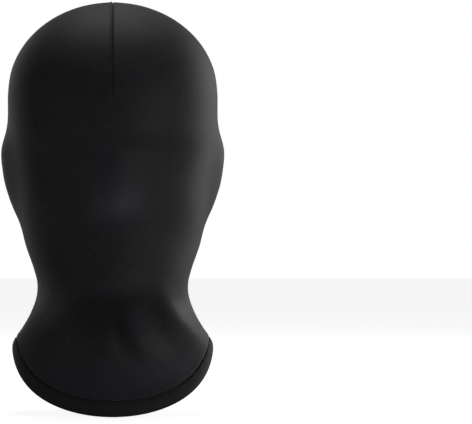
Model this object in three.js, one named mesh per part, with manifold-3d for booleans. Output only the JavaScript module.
// A full-cover stretch hood: one cut of thin black knit, folded at the face, closed by a single seam that
// starts on the forehead, runs over the crown and goes down the nape, and edged at the neck by a doubled
// band. It is shown as worn, with the head inside it left out. Millimetres, +Z up, the face looks towards -Y.
// The origin is the point of the lining that rests on the top of the head.
import * as THREE from "three";
import { ParametricGeometry } from "three/addons/geometries/ParametricGeometry.js";
import { mergeVertices } from "three/addons/utils/BufferGeometryUtils.js";
import Module from "manifold-3d";

const wasm = await Module();
wasm.setup();

// ---- driving dimensions -----------------------------------------------------------------------------

// The head that the hood is cut for, measured over the cloth.
const CRANIUM_BREADTH = 156.8;
const CRANIUM_LENGTH = 197;
const CROWN_RISE = 68; // the crown above the level where the head's sides turn upright
const BROW_DROP = 98; // from the crown down to where the head is longest
const FACE_LEVEL = 160; // from the crown down to the jaw's corners
const JAW_BREADTH = 131;
const CHIN_DEPTH = 95; // the chin before the axis
const NECK_BREADTH = 113;
const NECK_DEPTH = 131; // throat to nape, where the hood is narrowest
const COLLAR_BREADTH = 150.6; // across the fold of the band
const COLLAR_DEPTH = 161;
const FRONT_LENGTH = 306.5; // crown to the fold of the band, on the chest
const SIDE_LENGTH = 260.5; // and over the shoulder
const BACK_LENGTH = 275; // and on the back
const EAR_STAND = 9.4; // how far an ear pushes the cloth out
const NOSE_STAND = 19;

// The cloth and its seams.
const CLOTH = 0.8;
const CLEARANCE = 0.3; // between cloth and thread that touch
const SEAM_SLIT = 0.3; // between the two turned-in edges of the centre seam
const DART_TOP = 77; // from the crown down to the forehead end of the centre seam
const SEAM_ALLOWANCE = 5.5; // cloth turned in along the centre seam
const BAND_HEIGHT = 10.5;
const BAND_GROOVE = 1.1; // the ditch between hood and band
const BAND_ALLOWANCE = 5; // the band's raw edge, turned up behind the hood
const BAND_FLARE = 3; // how far the fold stands out past the ditch
const THREAD = 0.4;
const NEEDLE_DEPTH = 0.5; // of the centre seam's needle thread under the lining
const OVERLOCK_REACH = 1.6; // from the lining to where the overcast thread of the centre seam starts
const OVERLOCK_FOOT = 1.2; // from the ditch up to where the overcast thread of the band starts
const TACK_WIDTH = 4;
const TACK_HEIGHT = 1.4;
const TACK_STANDOFF = 0.7; // a straight bar of stitches from the middle of the curved cloth behind it

// How finely the curved surface is faceted.
const SLICES = 48;
const ROWS_TO_COLLAR = 40;

// ---- the worn surface -------------------------------------------------------------------------------

// The half-breadth, and the depths before and behind the axis, of the widest ring of each stretch.
const NECK_LEAN = 4.5; // the neck and the collar lie ahead of the axis
const cranium = { side: CRANIUM_BREADTH / 2, front: CRANIUM_LENGTH / 2, back: CRANIUM_LENGTH / 2 };
const throat = {
  side: NECK_BREADTH / 2,
  front: NECK_DEPTH / 2 + NECK_LEAN,
  back: NECK_DEPTH / 2 - NECK_LEAN,
};
const collar = {
  side: COLLAR_BREADTH / 2,
  front: COLLAR_DEPTH / 2 + NECK_LEAN,
  back: COLLAR_DEPTH / 2 - NECK_LEAN,
};

// How far below the crown the chin's ring and the ditch above the band lie, at the side, front and back.
const chinDrop = { side: FACE_LEVEL + 37, front: FACE_LEVEL + 56, back: FACE_LEVEL + 41 };
const ditchDrop = {
  side: SIDE_LENGTH - BAND_HEIGHT,
  front: FRONT_LENGTH - BAND_HEIGHT,
  back: BACK_LENGTH - BAND_HEIGHT,
};

// A ring of the cranium's dome, at a turn from the crown (0) to the upright sides (90 degrees).
function domeRing(turn) {
  const drop = CROWN_RISE * (1 - Math.cos(turn));
  const reach = Math.sqrt(1 - (1 - drop / BROW_DROP) ** 2);
  return [[cranium.side * Math.sin(turn), drop], [cranium.front * reach, drop], [cranium.back * reach, drop]];
}

// A ring of the neck, part of the way down from the chin's ring to the ditch of the band.
function neckRing(part, side, front, back) {
  const dropAt = (end) => THREE.MathUtils.lerp(chinDrop[end], ditchDrop[end], part);
  return [[side, dropAt("side")], [front, dropAt("front")], [back, dropAt("back")]];
}

// Rings of the cloth's outer face from the crown down, each [half-breadth, its drop], [front depth, its
// drop], [back depth, its drop]. Below the mouth the rings tip forwards, as the collar does.
const dome = [0, 18, 36, 54, 72, 90].map((degrees) => domeRing(THREE.MathUtils.degToRad(degrees)));
const brow = [[cranium.side - 0.8, 92], [cranium.front, BROW_DROP], [cranium.back, BROW_DROP - 3]];
const eyes = [[cranium.side - 2.9, 113], [cranium.front - 3.5, 116], [cranium.back - 1.5, 116]];
const cheeks = [[cranium.side - 5.9, 137], [cranium.front - 4.5, 139], [cranium.back - 8.5, 139]];
const mouth = [
  [JAW_BREADTH / 2 + 4, FACE_LEVEL],
  [CHIN_DEPTH + 1, FACE_LEVEL + 8],
  [throat.back + 17, FACE_LEVEL + 1],
];
const jaw = [
  [JAW_BREADTH / 2, FACE_LEVEL + 21],
  [CHIN_DEPTH, FACE_LEVEL + 35],
  [throat.back + 5, FACE_LEVEL + 22],
];
const chin = [
  [throat.side + 3, chinDrop.side],
  [CHIN_DEPTH - 2, chinDrop.front],
  [throat.back + 0.5, chinDrop.back],
];
const underChin = neckRing(0.2, throat.side, throat.front + 10, throat.back);
const narrowest = neckRing(0.43, throat.side + 0.5, throat.front, throat.back + 1.5);
const neckBase = neckRing(0.67, throat.side + 5, throat.front - 0.5, throat.back + 6);
const skirt = neckRing(0.865, collar.side - 8, collar.front - 9.5, collar.back - 5.5);
const ditch = neckRing(1, collar.side - BAND_FLARE, collar.front - BAND_FLARE, collar.back - BAND_FLARE);
const fold = [
  [collar.side, SIDE_LENGTH],
  [collar.front, FRONT_LENGTH],
  [collar.back, BACK_LENGTH],
];
const bandMiddle = fold.map(([reach, drop]) => [reach - BAND_FLARE / 8, drop - BAND_HEIGHT / 2]);
const RINGS = [
  ...dome,
  brow,
  eyes,
  cheeks,
  mouth,
  jaw,
  chin,
  underChin,
  narrowest,
  neckBase,
  skirt,
  ditch,
  bandMiddle,
  fold,
];
const FOLD = RINGS.length - 1;
const DITCH = FOLD - 2;
const SQUARENESS = 2.15; // of each ring: 2 is an ellipse, and more is squarer
const SHOULDER_SOFTNESS = 0.2; // of the turn over the shoulder: 0 is a sharp peak

// A smooth curve through one number of every ring, mirrored at the crown so that the dome closes flat.
function along(ring, profile, item) {
  const at = (k) => {
    if (k < 0) return item === 0 ? -at(-k) : at(-k);
    if (k > FOLD) return 2 * at(FOLD) - at(2 * FOLD - k);
    return RINGS[k][profile][item];
  };
  const k = Math.min(Math.floor(ring), FOLD - 1);
  const s = ring - k;
  const [p, q, r, t] = [at(k - 1), at(k), at(k + 1), at(k + 2)];
  return q + 0.5 * s * (r - p + s * (2 * p - 5 * q + 4 * r - t + s * (3 * (q - r) + t - p)));
}

const ease = THREE.MathUtils.smoothstep;

// How far an ear and the nose push the cloth out, by the angle round the head and the drop below the crown.
function stand(angle, drop, radius) {
  const behind = radius * (Math.abs(angle) - Math.PI / 2); // from the side line, towards the back
  const across = ease(behind, -24, 0) * (1 - ease(behind, 16, 34));
  const down = ease(drop, 88, 114) * (1 - 0.45 * ease(drop, 132, 157)) * (1 - ease(drop, 152, 165));
  const aside = radius * Math.sin(angle);
  const rise = THREE.MathUtils.clamp((drop - 100) / 56, 0, 1);
  const bridge = rise * ease(rise, -0.6, 1) * (1 - ease(drop, 150, 184));
  const nose = Math.abs(angle) < Math.PI / 2 ? NOSE_STAND * bridge * Math.exp(-((aside / 21) ** 2)) : 0;
  return EAR_STAND * across * down + nose;
}

const levelOf = (drop) => CLOTH - drop;

// The point of the outer surface at an angle from the face (0 is the front, +90 degrees is +X) on a ring.
function outer(angle, ring) {
  const ahead = Math.cos(angle);
  const end = ahead > 0 ? 1 : 2;
  const share = Math.hypot(ahead, SHOULDER_SOFTNESS) - SHOULDER_SOFTNESS;
  const part = share / (Math.hypot(1, SHOULDER_SOFTNESS) - SHOULDER_SOFTNESS);
  const drop = THREE.MathUtils.lerp(along(ring, 0, 1), along(ring, end, 1), part);
  const across = Math.abs(Math.sin(angle)) / Math.max(along(ring, 0, 0), 1e-6);
  const deep = Math.abs(ahead) / Math.max(along(ring, end, 0), 1e-6);
  const bare = (across ** SQUARENESS + deep ** SQUARENESS) ** (-1 / SQUARENESS);
  const radius = ring > 0 ? bare + stand(angle, drop, bare) : 0;
  return new THREE.Vector3(radius * Math.sin(angle), -radius * ahead, levelOf(drop));
}

// A point `rise` above a ring, measured up the cloth, and `depth` under the outer surface.
const NUDGE = 0.02;
function under(angle, { ring, rise = 0, depth = 0 }) {
  if (ring === 0) return new THREE.Vector3(0, 0, CLOTH - depth);
  const pace = outer(angle, ring).distanceTo(outer(angle, ring - NUDGE)) / NUDGE;
  const level = ring - rise / pace;
  const here = outer(angle, level);
  const down = outer(angle, level + NUDGE).sub(outer(angle, level - NUDGE));
  const round = outer(angle + NUDGE, level).sub(outer(angle - NUDGE, level));
  const inward = round.cross(down).normalize();
  return here.addScaledVector(inward, depth);
}

// ---- solids -----------------------------------------------------------------------------------------

const angleAt = (turn) => (1 - 2 * turn) * Math.PI;

// A solid swept round the hood: `path` is its section, listed so that the faces point out.
function swept(path) {
  const place = (u, v, target) => target.copy(under(angleAt(u), path[Math.round(v * (path.length - 1))]));
  return solid(new ParametricGeometry(place, SLICES, path.length - 1));
}

// A three.js geometry as a manifold solid.
function solid(geometry) {
  const bare = geometry.clone().deleteAttribute("normal").deleteAttribute("uv");
  const merged = mergeVertices(bare, 1e-3);
  const corners = merged.index.array;
  const kept = [];
  for (let i = 0; i < corners.length; i += 3) {
    const [a, b, c] = [corners[i], corners[i + 1], corners[i + 2]];
    if (a !== b && b !== c && c !== a) kept.push(a, b, c);
  }
  const vertProperties = merged.attributes.position.array;
  return new wasm.Manifold(new wasm.Mesh({ numProp: 3, vertProperties, triVerts: new Uint32Array(kept) }));
}

function geometryOf(body) {
  const made = body.getMesh();
  const geometry = new THREE.BufferGeometry();
  geometry.setAttribute("position", new THREE.BufferAttribute(new Float32Array(made.vertProperties), 3));
  geometry.setIndex(new THREE.BufferAttribute(new Uint32Array(made.triVerts), 1));
  geometry.computeVertexNormals();
  return geometry;
}

// The rows of the hood from the crown to its lower edge, at a depth.
const edge = { ring: DITCH, rise: BAND_GROOVE / 2 };
const tuckedEdge = { ring: DITCH, rise: BAND_ALLOWANCE };
function rows(depth) {
  const step = (DITCH - 0.5) / (ROWS_TO_COLLAR - 1);
  const evenly = Array.from({ length: ROWS_TO_COLLAR }, (_, k) => ({ ring: k * step, depth }));
  return [...evenly, { ...tuckedEdge, depth }, { ...edge, depth }];
}

// Everything inside the hood that is deeper than `depth`, down to the lower edge.
function core(depth) {
  const path = rows(depth);
  const floor = new THREE.Vector3(0, 0, levelOf(SIDE_LENGTH));
  const place = (u, v, target) => {
    const k = Math.round(v * path.length);
    return target.copy(k < path.length ? under(angleAt(u), path[k]) : floor);
  };
  return solid(new ParametricGeometry(place, SLICES, path.length));
}

// A slab from side to side between two planes, over the stretch of the centre seam: behind the dart's end
// on the forehead, and down to `lowest` at the nape.
const OUTSIDE = 40;
function seamSlab(fromX, toX, dartDrop, lowest) {
  const front = -(cranium.front + OUTSIDE);
  const back = cranium.back + OUTSIDE;
  const outline = new THREE.Shape();
  outline.moveTo(front, levelOf(dartDrop));
  outline.lineTo(0, levelOf(dartDrop));
  outline.lineTo(0, levelOf(lowest));
  outline.lineTo(back, levelOf(lowest));
  outline.lineTo(back, OUTSIDE);
  outline.lineTo(front, OUTSIDE);
  const slab = new THREE.ExtrudeGeometry(outline, { depth: toX - fromX, bevelEnabled: false });
  const upright = new THREE.Matrix4().set(0, 0, 1, fromX, 1, 0, 0, 0, 0, 1, 0, 0, 0, 0, 0, 1);
  return solid(slab.applyMatrix4(upright));
}

// The nape end of the centre seam stays above the band's overcast thread by twice the height of its tack.
const overcastTop = { ring: DITCH, rise: BAND_ALLOWANCE + CLEARANCE + THREAD, depth: CLOTH + CLEARANCE };
const seamEnd = CLOTH - under(Math.PI, overcastTop).z - 2 * TACK_HEIGHT;

// A strip along the centre seam, between two depths and two planes.
function seamStrip(fromDepth, toDepth, fromX, toX, shortBy = 0) {
  const layer = core(fromDepth).subtract(core(toDepth));
  return layer.intersect(seamSlab(fromX, toX, DART_TOP - shortBy, seamEnd - shortBy));
}

// ---- the pieces -------------------------------------------------------------------------------------

// One cut of cloth, open along the centre seam, whose edges turn in as the seam's allowance.
function hoodPanel() {
  const skin = swept([...rows(0), ...rows(CLOTH).reverse()]);
  const slit = seamSlab(-SEAM_SLIT / 2, SEAM_SLIT / 2, DART_TOP, FRONT_LENGTH + OUTSIDE);
  const turned = (side) => {
    const near = (side * SEAM_SLIT) / 2;
    const far = side * (SEAM_SLIT / 2 + CLOTH);
    return seamStrip(CLOTH / 2, SEAM_ALLOWANCE, Math.min(near, far), Math.max(near, far));
  };
  return skin.subtract(slit).add(turned(1)).add(turned(-1));
}

// Overcast thread that wraps the two raw edges of the centre seam.
const flank = SEAM_SLIT / 2 + CLOTH + CLEARANCE;
function crownSeamOverlock() {
  const edgeOfHem = SEAM_ALLOWANCE + CLEARANCE;
  const whole = seamStrip(CLOTH + OVERLOCK_REACH, edgeOfHem + THREAD, -flank - THREAD, flank + THREAD, 1);
  const hollow = seamStrip(CLOTH, edgeOfHem, -flank, flank, -1);
  return whole.subtract(hollow);
}

// The straight needle thread that holds the centre seam, close under the cloth.
function crownSeamNeedleThread() {
  const near = CLOTH + NEEDLE_DEPTH;
  return seamStrip(near, near + THREAD, flank, flank + THREAD, 1);
}

// The doubled band: outer ply, fold, inner ply, and the raw edge turned up behind the hood.
const inner = CLOTH + CLEARANCE;
const lining = inner + CLOTH;
function neckBand() {
  const section = [
    { ring: DITCH, rise: -BAND_GROOVE / 2, depth: 0 },
    { ring: FOLD, rise: BAND_HEIGHT / 2, depth: 0 },
    { ring: FOLD, rise: CLOTH, depth: 0 },
    { ring: FOLD, rise: 0, depth: CLOTH },
    { ring: FOLD, rise: 0, depth: inner },
    { ring: FOLD, rise: CLOTH, depth: lining },
    { ring: FOLD, rise: BAND_HEIGHT / 2, depth: lining },
    { ring: DITCH, rise: 0, depth: lining },
    { ...tuckedEdge, depth: lining },
    { ...tuckedEdge, depth: inner },
    { ring: DITCH, rise: 0, depth: inner },
    { ring: FOLD, rise: BAND_HEIGHT / 2, depth: inner },
    { ring: FOLD, rise: 1.5 * CLOTH, depth: inner },
    { ring: FOLD, rise: 1.5 * CLOTH, depth: CLOTH },
    { ring: FOLD, rise: BAND_HEIGHT / 2, depth: CLOTH },
    { ring: DITCH, rise: -BAND_GROOVE / 2, depth: CLOTH },
    { ring: DITCH, rise: -BAND_GROOVE / 2, depth: 0 },
  ];
  const joint = seamSlab(-SEAM_SLIT / 2, SEAM_SLIT / 2, 0, FRONT_LENGTH + OUTSIDE);
  return swept(section).subtract(joint);
}

// The needle thread that lies in the ditch and holds hood and band together.
function neckSeamNeedleThread() {
  const radius = (BAND_GROOVE - 2 * CLEARANCE) / 2;
  const middle = CLOTH / 2;
  const turn = (rise, depth) => ({ ring: DITCH, rise, depth });
  return swept([
    turn(radius, middle),
    turn(0, middle - radius),
    turn(-radius, middle),
    turn(0, middle + radius),
    turn(radius, middle),
  ]);
}

// Overcast thread hooked over the raw edge behind the hood.
function neckSeamOverlock() {
  const behind = lining + CLEARANCE;
  const top = BAND_ALLOWANCE + CLEARANCE;
  const turn = (rise, depth) => ({ ring: DITCH, rise, depth });
  return swept([
    turn(top + THREAD, CLOTH + CLEARANCE),
    turn(top, CLOTH + CLEARANCE),
    turn(top, behind),
    turn(OVERLOCK_FOOT, behind),
    turn(OVERLOCK_FOOT, behind + THREAD),
    turn(top + THREAD, behind + THREAD),
    turn(top + THREAD, CLOTH + CLEARANCE),
  ]);
}

// A short flat bar of close stitches, `height` tall, that lies `TACK_STANDOFF` behind a place on the cloth.
function tack(angle, place, height) {
  const here = under(angle, { ...place, depth: place.depth + TACK_STANDOFF });
  const deeper = under(angle, { ...place, depth: place.depth + TACK_STANDOFF + THREAD });
  const inward = deeper.clone().sub(here).normalize();
  const across = new THREE.Vector3(1, 0, 0);
  const frame = new THREE.Matrix4().makeBasis(across, inward.clone().cross(across), inward);
  const bar = new THREE.BoxGeometry(TACK_WIDTH, height, THREAD).applyMatrix4(frame);
  return solid(bar.translate(...here.addScaledVector(inward, THREAD / 2).toArray()));
}

// The ring, as a number between two rings, where the front (1) or the back (2) is at a drop below the crown.
function ringAt(profile, drop) {
  let ring = 0;
  while (along(ring, profile, 1) < drop) ring += NUDGE;
  return ring;
}

// The bars that lock the two ends of the centre seam.
function foreheadTack() {
  return tack(0, { ring: ringAt(1, DART_TOP + TACK_HEIGHT), depth: CLOTH }, TACK_HEIGHT);
}

function napeTack() {
  return tack(Math.PI, { ring: ringAt(2, seamEnd + TACK_HEIGHT), depth: CLOTH }, TACK_HEIGHT);
}

// The stitches across the joint where the band's two ends meet at the nape.
function bandJoin() {
  const middle = { ring: FOLD, rise: BAND_HEIGHT / 2, depth: lining };
  return tack(Math.PI, middle, BAND_HEIGHT / 2);
}

// ---- the hood ---------------------------------------------------------------------------------------

function cloth(name, color, roughness) {
  return new THREE.MeshStandardMaterial({ name, color, roughness, metalness: 0 });
}
const knit = cloth("polyester and elastane knit", 0x17181a, 0.62);
const bandKnit = cloth("doubled band of the same knit", 0x141416, 0.68);
const thread = cloth("polyester thread", 0x1f2022, 0.5);

const hood = new THREE.Group();
function piece(name, body, material) {
  const mesh = new THREE.Mesh(geometryOf(body), material);
  mesh.name = name;
  hood.add(mesh);
}

piece("hood_panel", hoodPanel(), knit);
piece("crown_seam_overlock", crownSeamOverlock(), thread);
piece("crown_seam_needle_thread", crownSeamNeedleThread(), thread);
piece("forehead_tack", foreheadTack(), thread);
piece("nape_tack", napeTack(), thread);
piece("neck_band", neckBand(), bandKnit);
piece("neck_seam_needle_thread", neckSeamNeedleThread(), thread);
piece("neck_seam_overlock", neckSeamOverlock(), thread);
piece("band_join_stitches", bandJoin(), thread);

export default hood;
